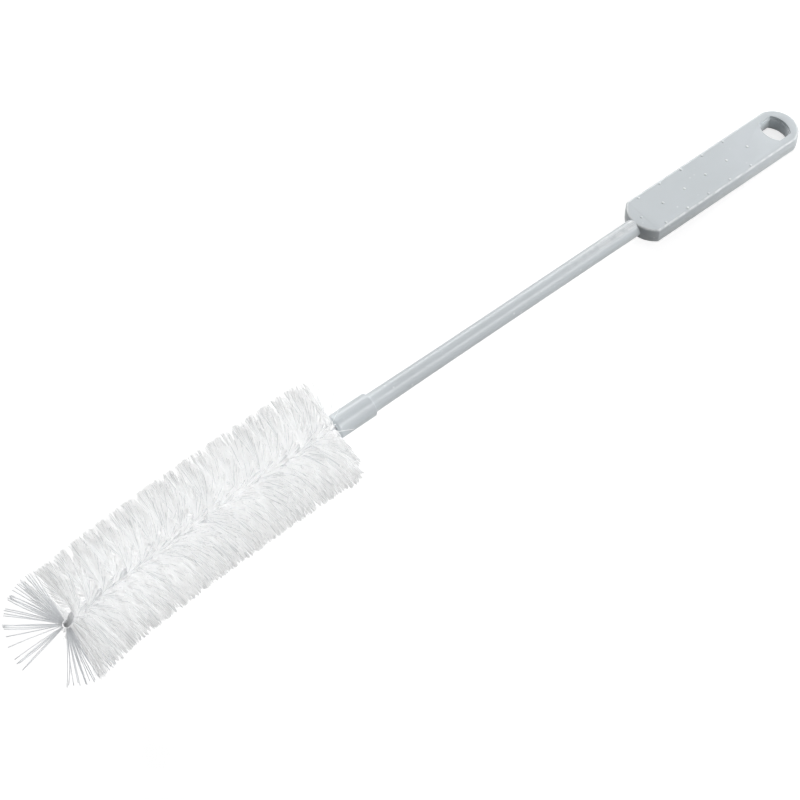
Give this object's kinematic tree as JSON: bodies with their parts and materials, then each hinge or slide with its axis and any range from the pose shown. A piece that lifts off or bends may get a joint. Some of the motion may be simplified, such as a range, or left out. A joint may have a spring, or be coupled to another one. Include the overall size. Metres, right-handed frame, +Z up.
{
  "type": "bottle brush",
  "caption": "Long-handled bottle brush: twisted wire core, round spiral head of white filaments, grey tip fan, and a one-piece rod handle with a flat grip and hanging hole.",
  "frame": {"origin": "centre of the bounding box's footprint, on the surface that the brush lies on", "axes": "+X along the brush from the bristle tip to the grip's end, +Y to the brush's left, +Z up"},
  "size_m": [0.5277, 0.0663, 0.0717],
  "materials": {
    "handle_plastic": "satin",
    "wire": "satin",
    "white_filament": "matte",
    "grey_filament": "matte"
  },
  "bodies": {
    "root": {"handle": "handle_plastic", "core_wire": "wire", "bristles": "white_filament", "tip_fan": "grey_filament"}
  },
  "joints": []
}
